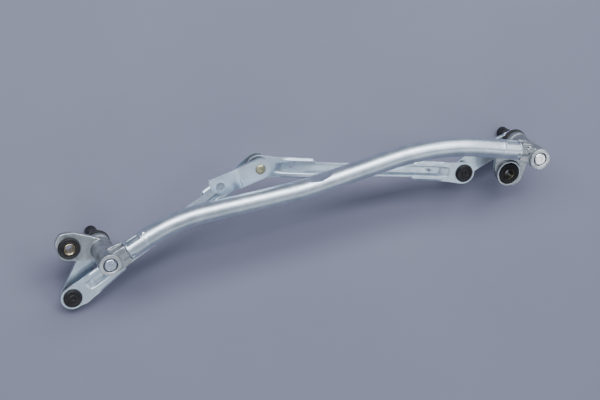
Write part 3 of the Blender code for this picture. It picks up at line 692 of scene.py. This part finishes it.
def build_right_casting():
    x = RIGHT.x
    end, into = TUBE_CORNERS[-1], TUBE_CORNERS[-2]
    bm = bmesh.new()
    add_turned(bm, BARREL, RIGHT)
    outline = [(x - 1.0, 10.4), (x - 8.0, 17.4)] + beside_tube(end, into, [(-0.5, -9.4), (-0.5, 9.2)])
    outline += [(436.0, -1.5), (x - 6.0, -9.4), (x, -4.0)]
    add_slab(bm, outline, -3.2, CAP_LOW)
    web = [(x - 2.0, 9.4), (x - 8.2, 15.9)] + beside_tube(end, into, [(-0.5, -8.0), (-0.5, 8.6)])
    web += [(437.5, -1.0), (x - 6.0, -8.4), (x, -4.0)]
    add_slab(bm, web, *WEB)
    foot = [(x - 0.4, 11.0), (x - 8.0, 18.0)] + beside_tube(end, into, [(-0.5, -9.7), (-0.5, 8.8)])
    foot += [(436.4, -1.2), (x - 6.0, -9.0), (x, -4.0)]
    add_slab(bm, foot, *FOOT)
    pad = [(x - 10.0, 8.0), (x - 5.4, 12.6), (x - 9.2, 16.2), (x - 12.4, 13.0)]
    add_slab(bm, pad, -1.6, -4.0)
    ear = [(419.7, -6.0), (417.8, -18.0), (419.2, -29.5), (427.1, -37.8), (437.0, -41.2), (445.3, -38.3),
           (451.8, -26.0), (456.8, -14.0), (455.8, 2.0), (440.0, 9.0)]
    add_slab(bm, filleted(ear, 8.0, True, 8), EAR_TOP, EAR_LOW)
    rim = [(11.3, EAR_TOP - 1.5), (11.3, EAR_TOP + 2.9), (13.5, EAR_TOP + 2.9), (13.6, EAR_TOP - 1.5)]
    add_turned(bm, rim, EAR_HOLE["right"], closed=True)
    add_slab(bm, [(x - 1.5, -1.0), (x - 16.0, 7.0), (x - 14.4, 9.8), (x, 2.0)], *RIB)
    add_plug(bm, end, into)
    piece = cast_skin("right_casting", bm)
    # Three shallow grooves run along the arm's cap flange.
    start, stop, half = -9.6, -1.4, 0.35
    for number, across in enumerate((-7.6, -5.5, -3.4)):
        groove = beside_tube(end, into, [(start, across - half), (stop, across - half), (stop, across + half),
                                         (start, across + half)])
        cut(piece, slab(f"groove_{number}", groove, -2.0, -3.85))
    finish_casting("right", piece, RIGHT)


# ---------------------------------------------------------------- spindles and what sits on them

def knurl(angle, radius, z):
    """Teeth on the cone that grips the wiper arm, and nothing elsewhere."""
    if -75.7 < z < -70.3:
        return radius - 0.16 * (0.5 + 0.5 * math.cos(angle * 40.0))
    return radius


def cap_ribs(angle, radius, z):
    """Fine grip ribs along the cap's side, and nothing elsewhere."""
    if -87.5 < z < -79.8 and radius > 6.0:
        return radius - 0.14 * (0.5 + 0.5 * math.cos(angle * 24.0))
    return radius


def build_spindle_parts(side, centre):
    steel = side + "_steel"
    arm_body = side + "_lever_arm"
    profile = [(0.0, -0.25), (2.1, -0.25), (2.5, -0.02), (5.3, -0.02), (6.0, -0.7), (6.0, -2.3),
               (5.2, -2.3), (5.2, -4.0), (6.0, -4.0), (6.0, -69.9), (5.85, -70.4), (5.1, -73.2),
               (4.4, -75.6), (4.0, -76.1)]
    crest, root, pitch = 4.0, 3.55, 1.0
    height = -76.3
    while height > -84.7:
        profile += [(crest, height, 0.0), (root, height - pitch / 2.0, 0.0)]
        height -= pitch
    profile += [(crest, -85.0), (3.2, -86.0), (0.0, -86.0)]
    add_piece(turned(side + "_shaft", profile, centre, sides=160, radius=0.12, wave=knurl),
              steel, arm_body, side + "_spindle", sharp=35.0)
    snap = arc((centre.x, centre.y), 6.95, 28.0, 332.0, 60)
    snap += arc((centre.x, centre.y), 5.5, 332.0, 28.0, 60)
    add_piece(slab(side + "_circlip", snap, -2.6, -3.7, 0.18),
              "spring", arm_body, side + "_snap_ring", weighted=True)
    cap = [(0.0, -89.6), (1.2, -89.6), (1.7, -89.9), (5.1, -89.9, 0.9), (6.25, -88.5), (6.25, -79.4),
           (6.95, -78.4), (6.95, -76.8, 0.5), (4.3, -76.8), (4.3, -86.3), (0.0, -86.3)]
    add_piece(turned(side + "_soft_cap", cap, centre, sides=144, radius=0.4, wave=cap_ribs),
              "soft", arm_body, side + "_protective_cap")
    bore_side, spindle_side = 7.08, 6.3
    for name, top in (("_upper_bush", -5.3), ("_lower_bush", -43.7)):
        bush = [(spindle_side, top), (bore_side, top), (bore_side, top - 12.0), (spindle_side, top - 12.0)]
        add_piece(turned(side + name + "_sleeve", bush, centre, closed=True, radius=0.15),
                  "bronze", "frame", side + name)
    shim = [(spindle_side, -4.0), (bore_side, -4.0), (bore_side, -5.0), (spindle_side, -5.0)]
    add_piece(turned(side + "_shim", shim, centre, closed=True, radius=0.15),
              steel, "frame", side + "_shim_washer")
    seal = [(6.3, -56.3), (12.1, -56.3, 0.6), (12.75, -57.2), (12.3, -58.0), (12.3, -58.6), (12.75, -59.3),
            (12.4, -60.6), (9.4, -60.9), (9.0, -60.2), (6.3, -60.2)]
    add_piece(turned(side + "_lip_seal", seal, centre, closed=True, radius=0.3, sides=96),
              "rubber", "frame", side + "_dust_seal")


def lever_outline(reach, bulge):
    """Rim of a lever along x: a round end at each pivot, a belly on one side and a waist on the other."""
    hub = arc((0.0, 0.0), 9.5, 80.0, 280.0, 28)
    tail = arc((reach, 0.0), 9.7, -85.0, 85.0, 26)
    outline = list(hub)
    start, end = Vector(hub[-1]), Vector(tail[0])
    first, second = Vector((reach * 0.3, -9.5 - bulge)), Vector((reach * 0.75, -9.3 - bulge))
    for step in range(1, 16):
        t = step / 16
        outline.append(start * (1 - t) ** 3 + first * 3 * t * (1 - t) ** 2
                       + second * 3 * t * t * (1 - t) + end * t ** 3)
    outline += tail
    start, middle, end = Vector(tail[-1]), Vector((reach * 0.45, 8.0)), Vector(hub[0])
    for step in range(1, 12):
        t = step / 12
        outline.append(start * (1 - t) ** 2 + middle * 2 * t * (1 - t) + end * t * t)
    return outline


def build_lever(side, centre, bulge):
    """Stamped lever plate, its pressed collar, and the ball stud riveted to it."""
    body = side + "_lever_arm"
    ball = BALL[side]
    turn = Matrix.Rotation(math.atan2(ball.y - centre.y, ball.x - centre.x), 2)
    outline = lever_outline((ball - centre).length, bulge)
    outline = [tuple(turn @ Vector(point) + centre.xy) for point in outline]
    plate = slab(side + "_lever_plate", outline, LEVER_TOP, LEVER_TOP - LEVER_PLATE)
    collar = turned("collar", [(0.0, -61.2), (8.5, -61.2), (8.5, -69.5), (0.0, -69.5)], centre, radius=0.0)
    join = plate.modifiers.new("collar", "BOOLEAN")
    join.operation = "UNION"
    join.object = collar
    apply_modifiers(plate)
    bpy.data.objects.remove(collar, do_unlink=True)
    cut(plate, drill("spindle_drill", 6.3, -50.0, -80.0, centre),
        drill("stud_drill", 3.9, -50.0, -80.0, ball))
    round_edges(plate, 0.5, 3, 50.0)
    add_piece(plate, "pressing", body, side + "_lever", sharp=30.0, weighted=True)
    low = LEVER_TOP - 4.0
    neck_radius = 3.6
    neck = math.acos(neck_radius / BALL_RADIUS)
    profile = [(0.0, BALL_LEVEL + BALL_RADIUS)]
    for step in range(1, 20):
        angle = math.pi / 2.0 - (math.pi / 2.0 + neck) * step / 19
        profile.append((BALL_RADIUS * math.cos(angle), BALL_LEVEL + BALL_RADIUS * math.sin(angle), 0.0))
    profile += [(neck_radius, low - 0.3), (6.0, low - 0.3, 0.2), (6.0, low - 1.2, 0.5), (4.6, low - 2.4, 0.8),
                (1.6, low - 2.4, 0.5), (1.2, low - 2.0, 0.3), (0.0, low - 2.0)]
    add_piece(turned(side + "_ball_pin", profile, ball, sides=64), side + "_ball", body, side + "_ball_stud")


# ---------------------------------------------------------------- link rods

def link_stations(length):
    """Places along a rod, close together where its section changes, from tip to tip."""
    tip = 11.4
    half = [-tip * math.cos(math.radians(angle)) for angle in (5, 12, 20, 28, 36, 44, 52, 60, 68, 76, 84)]
    half += [2.0, 5.0, 8.0, 11.0, 14.0, 16.0, 17.2, 18.4, 19.6, 20.8, 22.0, 23.2, 24.4, 25.6, 27.0, 28.4,
             31.0, 35.0, 40.0, 45.0, 50.0, 54.0, 57.0, 58.0, 58.8, 59.6, 60.4, 61.2, 62.0, 64.0, 68.0, 74.0]
    middle = [74.0 + (length - 148.0) * step / 14 for step in range(1, 14)]
    return half + middle + [length - value for value in reversed(half)]


def link_skin(length, rise, belly):
    """Upper skin of a rod along x: round ends, a sunk channel, and flanges that stop short of the middle."""
    end_half, flange_half, waist_half = 11.5, 10.3, 6.8
    steps = 40
    bm = bmesh.new()
    rows = []
    for along in link_stations(length):
        near = min(along, length - along)
        if near < 0.0:
            half = math.sqrt(max(end_half ** 2 - near ** 2, 0.4))
        else:
            half = (end_half + (flange_half - end_half) * ease(near, 2.0, 20.0)
                    + (waist_half - flange_half) * ease(near, 57.6, 61.0))
        level = LINK_OUTER + rise * ease(along, 14.0, length - 14.0)
        sink = 4.6 * ease(near, 16.5, 27.5)
        roll = 1.5 * ease(near, 22.0, 30.0) * (1.0 - 0.75 * ease(near, 58.0, 61.0))
        extra = belly * band(along, 0.0, 10.0, 22.0, 62.0)
        row = []
        for step in range(steps + 1):
            share = 2.0 * step / steps - 1.0
            wide = half + (extra if share < 0.0 else 0.0)
            across = wide * math.copysign(abs(share) ** 0.86, share)
            inside = 1.0 - ease(abs(across), 3.6, 5.0)
            rim = ease(abs(across), wide - 2.2, wide)
            crown = 0.35 * ease(near, 20.0, 28.0) * ease(abs(across), 4.8, 6.0)
            row.append(bm.verts.new((along, across, level - sink * inside - roll * rim + crown)))
        rows.append(row)
    for first, second in zip(rows, rows[1:]):
        for step in range(steps):
            bm.faces.new((first[step], first[step + 1], second[step + 1], second[step]))
    bmesh.ops.recalc_face_normals(bm, faces=bm.faces)
    if sum(face.normal.z for face in bm.faces) < 0.0:
        bmesh.ops.reverse_faces(bm, faces=bm.faces)
    return bm


def thicken(bm, thickness):
    """Close an open skin that faces up into sheet metal, downwards."""
    below = {}
    for vertex in list(bm.verts):
        below[vertex] = bm.verts.new(vertex.co - Vector((0.0, 0.0, 1.0)) * thickness)
    rim_edges = [edge for edge in bm.edges if len(edge.link_faces) == 1]
    for face in list(bm.faces):
        bm.faces.new([below[vertex] for vertex in reversed(face.verts)])
    for edge in rim_edges:
        first, second = edge.verts
        bm.faces.new((first, second, below[second], below[first]))


def build_link(side, holes):
    """Pressed rod with its joggle and drain holes, the bush in its eye, and its ball socket."""
    ball = BALL[side]
    span = PIN - ball
    heading = math.atan2(span.y, span.x)
    eye_top = EYE_TOP[side]
    bush_inner = 3.5 if side == "left" else 6.2
    bush_outer = bush_inner + 1.8
    belly = 2.7 if side == "left" else 0.0
    bm = link_skin(span.length, eye_top - LINK_OUTER, belly)
    thicken(bm, 1.9)
    bm.transform(Matrix.Translation(ball) @ Matrix.Rotation(heading, 4, "Z"))
    link = new_object(side + "_pressed_link", bm)
    turn = Matrix.Rotation(heading, 3, "Z")
    cutters = [drill("socket_drill", 8.0, -40.0, -70.0, ball),
               drill("eye_drill", bush_outer + 0.3, -25.0, -70.0, PIN)]
    for number, along in enumerate(holes):
        place = ball + turn @ Vector((along, 0.0, 0.0))
        cutters.append(drill(f"hole_{number}", 1.8, -25.0, -75.0, place, sides=32))
    cut(link, *cutters)
    round_edges(link, 0.3, 2, 60.0)
    add_piece(link, "pressing", side + "_link", side + "_link_rod", sharp=50.0)

    flange = bush_outer + 1.2
    bush = [(bush_inner, eye_top + 1.2, 0.5), (flange, eye_top + 1.2, 0.5), (flange, eye_top + 0.3),
            (bush_outer, eye_top + 0.3), (bush_outer, eye_top - 2.3), (flange, eye_top - 2.3),
            (flange, eye_top - 3.2, 0.5), (bush_inner, eye_top - 3.2, 0.5)]
    add_piece(turned(side + "_flanged_bush", bush, PIN, closed=True, radius=0.2),
              "plastic", side + "_link", side + "_eye_bush")
    build_socket(side, ball)


SOCKET_LOW = LINK_OUTER - LINK_PLATE


def socket_slots(angle, radius, z):
    """Slots down the cup's side, and shallow notches round the cap above the rod."""
    if z < SOCKET_LOW - 0.8 and radius > 8.0:
        return radius - 0.7 * ease(math.cos(angle * 6.0), 0.80, 0.94)
    if z > -51.2 and 6.4 < radius < 8.4:
        return radius - 0.12 * ease(math.cos(angle * 8.0), 0.7, 0.9)
    return radius


def build_socket(side, ball):
    """Snap-on ball socket: a cap with a sunk ring and a dimple above the rod, a slotted cup below it."""
    hollow = BALL_RADIUS + 0.3
    mouth_level = -61.0
    mouth = math.asin((mouth_level - BALL_LEVEL) / hollow)
    profile = [(0.0, -51.9), (1.3, -51.7, 0.4), (2.3, -50.9, 0.4), (3.4, -50.9, 0.3), (4.0, -51.5, 0.3),
               (5.9, -51.5, 0.3), (6.5, -50.6, 0.4), (8.2, -50.6, 0.8), (9.35, -51.7, 0.5),
               (9.35, -52.7, 0.2), (7.7, -52.7), (7.7, SOCKET_LOW - 0.3), (9.3, SOCKET_LOW - 0.3, 0.3),
               (9.3, -59.6, 0.4), (7.9, mouth_level, 0.3)]
    for step in range(13):
        angle = mouth + (math.pi / 2.0 - mouth) * step / 12
        radius = 0.0 if step == 12 else hollow * math.cos(angle)
        profile.append((radius, BALL_LEVEL + hollow * math.sin(angle), 0.0))
    add_piece(turned(side + "_snap_socket", profile, ball, sides=144, wave=socket_slots),
              "plastic", side + "_link", side + "_ball_socket", sharp=50.0)


# ---------------------------------------------------------------- crank

def build_crank():
    """Joggled strip with a rounded end at the pin and a slanted end past the shaft hole; its pin and clip."""
    drop = -2.5
    shaft_reach = 42.6
    half, tail, tail_end = 10.5, 9.6, 51.9
    outline = [(x, -y, y) for x, y in arc((0.0, 0.0), half, 178.0, 92.0, 26)]
    outline += [(4.0 * step, -half, half) for step in range(1, 6)]
    for along in [21.0 + 0.4 * step for step in range(31)]:
        taper = 0.9 * ease(along, 23.0, 31.0)
        outline.append((along, -half + taper, half - taper))
    outline += [(along, -tail, tail) for along in (34.0, 38.0, 42.6, 43.6)]
    outline += [(tail_end - 2.0, -tail + 0.3, tail - 4.8), (tail_end - 0.8, -tail + 0.6, tail - 7.0),
                (tail_end, -tail + 1.1, -tail + 2.3)]
    bm = bmesh.new()
    loops = []
    for along, low, high in outline:
        swage = 0.4 * math.exp(-((along - 22.2) / 0.6) ** 2)
        rise = drop * ease(along, 23.4, 31.6) - swage
        under = rise - CRANK_PLATE
        corners = [(along, low, rise), (along, high, rise), (along, high, under), (along, low, under)]
        loops.append([bm.verts.new((x, y, CRANK_TOP + z)) for x, y, z in corners])
    for first, second in zip(loops, loops[1:]):
        join_rings(bm, first, second)
    bm.faces.new(loops[0])
    bm.faces.new(loops[-1])
    bm.transform(Matrix.Translation(PIN) @ Matrix.Rotation(CRANK_ANGLE, 4, "Z"))
    crank = new_object("stamped_crank", bm)
    shaft = PIN + Matrix.Rotation(CRANK_ANGLE, 3, "Z") @ Vector((shaft_reach, 1.0, 0.0))
    cut(crank, drill("pin_drill", 3.5, -20.0, -40.0, PIN), drill("shaft_drill", 4.5, -20.0, -40.0, shaft))
    round_edges(crank, 0.5, 3, 50.0)
    add_piece(crank, "pressing", "crank", "motor_crank", sharp=35.0, weighted=True)
    under = CRANK_TOP - CRANK_PLATE
    profile = [(0.0, -27.35), (1.3, -27.35, 0.2), (1.7, -26.75, 0.3), (3.6, -26.6, 0.3), (4.9, -27.3, 0.4),
               (4.9, -27.7), (3.2, -27.7), (3.2, under - 0.3), (5.6, under - 0.3, 0.3),
               (5.6, under - 1.6, 0.3), (3.2, under - 1.6), (3.2, -48.6), (2.9, -48.6), (2.9, -49.8),
               (3.2, -49.8), (3.2, -50.8, 0.5), (0.0, -50.8)]
    add_piece(turned("rivet_pin", profile, PIN, radius=0.15), "pin", "crank", "crank_pin")
    clip = arc(PIN, 6.4, 30.0, 330.0, 48) + arc(PIN, 3.2, 330.0, 30.0, 40)
    add_piece(slab("retaining_clip", clip, -48.8, -49.6, 0.15), "spring", "crank", "pin_clip", weighted=True)


# ---------------------------------------------------------------- mountings

def build_mounting(side):
    """Rubber grommet in the ear, with a moulded groove on its top flange, and the spacer sleeve inside it."""
    centre = EAR_HOLE[side]
    top, low = EAR_TOP + 3.2, EAR_LOW - 3.2
    upper_flange, lower_flange = EAR_TOP + 0.3, EAR_LOW - 0.3
    waist, rim = 7.9, 10.95
    profile = [(5.9, top - 0.5), (6.6, top - 0.1), (7.3, top - 0.1), (7.8, top - 0.7), (8.4, top - 0.7),
               (8.9, top), (10.0, top, 0.8), (rim, top - 1.2, 0.8), (rim, upper_flange, 0.3),
               (waist, upper_flange), (waist, lower_flange), (rim, lower_flange, 0.3), (rim, low + 1.2, 0.8),
               (9.6, low, 0.8), (7.4, low), (5.9, low + 0.5)]
    add_piece(turned(side + "_rubber_grommet", profile, centre, closed=True, sides=96, radius=0.3),
              "rubber", "frame", side + "_grommet")
    head, foot = EAR_TOP + 3.65, EAR_LOW - 3.65
    bore, skin = 4.25, 5.55
    profile = [(5.25, head), (skin, head - 0.3), (skin, foot + 0.3), (5.25, foot), (bore, foot + 1.2),
               (bore, head - 1.2)]
    add_piece(turned(side + "_spacer", profile, centre, closed=True, sides=96, radius=0.15),
              side + "_sleeve", "frame", side + "_grommet_sleeve")


# ---------------------------------------------------------------- floor, light and camera

def build_floor():
    bm = bmesh.new()
    bmesh.ops.create_grid(bm, x_segments=2, y_segments=2, size=6.0)
    mesh = bpy.data.meshes.new("floor")
    bm.to_mesh(mesh)
    bm.free()
    floor = bpy.data.objects.new("floor", mesh)
    bpy.context.collection.objects.link(floor)
    floor.location.z = -0.0003
    finish = Finish("floor_card")
    darker, paler = (0.136, 0.143, 0.208), (0.148, 0.155, 0.221)
    tint = finish.ramp(finish.noise(0.004, 4.0, 0.5), [(0.3, darker), (0.7, paler)])
    finish.set(base_color=tint, roughness=0.75)
    mesh.materials.append(finish.material)


WHITE = (0.98, 0.99, 1.0)
PALE_BLUE = (0.94, 0.975, 1.0)
# Name, offset from the middle of the linkage in metres, width, height, power and colour.
LAMPS = [
    ("key", (0.0, 0.76, 1.52), 2.6, 0.7, 58.0, WHITE),
    ("overhead", (0.85, -0.05, 1.42), 0.6, 0.5, 5.0, WHITE),
    ("rim", (1.3, 1.3, 0.85), 0.8, 0.5, 5.0, (0.97, 0.985, 1.0)),
    ("front", (0.35, -1.5, 0.95), 2.9, 1.0, 4.8, (0.90, 0.96, 1.0)),
    ("upper_left", (-0.85, -0.95, 1.3), 0.7, 0.6, 3.5, PALE_BLUE),
    ("front_left", (-0.42, -1.6, 0.82), 0.6, 0.4, 2.6, PALE_BLUE),
    ("front_right", (1.25, -1.2, 1.0), 0.7, 0.5, 5.0, PALE_BLUE),
]


def build_light():
    world = bpy.data.worlds.new("studio")
    bpy.context.scene.world = world
    world.use_nodes = True
    background = world.node_tree.nodes["Background"]
    background.inputs["Color"].default_value = (0.56, 0.64, 0.86, 1.0)
    background.inputs["Strength"].default_value = 0.20
    middle = Vector((0.0, 0.0, 0.05))
    for name, offset, width, height, power, colour in LAMPS:
        light = bpy.data.lights.new(name, "AREA")
        light.shape = "RECTANGLE"
        light.size = width
        light.size_y = height
        light.energy = power
        light.color = colour
        lamp = bpy.data.objects.new(name, light)
        bpy.context.collection.objects.link(lamp)
        lamp.location = middle + Vector(offset)
        lamp.rotation_euler = (middle - lamp.location).to_track_quat("-Z", "Y").to_euler()


def build_camera():
    """Looks down on the linkage from the motor side, rolled as the linkage lies across the picture."""
    place = Vector((-214.6, 646.2, 1354.8)) * MM
    right = Vector((0.937, -0.108, 0.332))
    ahead = Vector((0.263, -0.405, -0.876)).normalized()
    up = right.cross(ahead).normalized()
    right = ahead.cross(up).normalized()
    data = bpy.data.cameras.new("camera")
    data.sensor_width = 36.0
    data.lens = 96.0
    data.dof.use_dof = False
    camera = bpy.data.objects.new("camera", data)
    bpy.context.collection.objects.link(camera)
    turn = Matrix((right, up, -ahead)).transposed().to_4x4()
    camera.matrix_world = DESIGN @ Matrix.Translation(place) @ turn
    bpy.context.scene.camera = camera


build_camera()
build_tube()
build_left_casting()
build_right_casting()
for side, centre, bulge, holes in (("left", LEFT, 0.0, [105.0]), ("right", RIGHT, 3.6, [39.0, 197.0])):
    build_spindle_parts(side, centre)
    build_lever(side, centre, bulge)
    build_link(side, holes)
    build_mounting(side)
build_crank()
build_floor()
build_light()
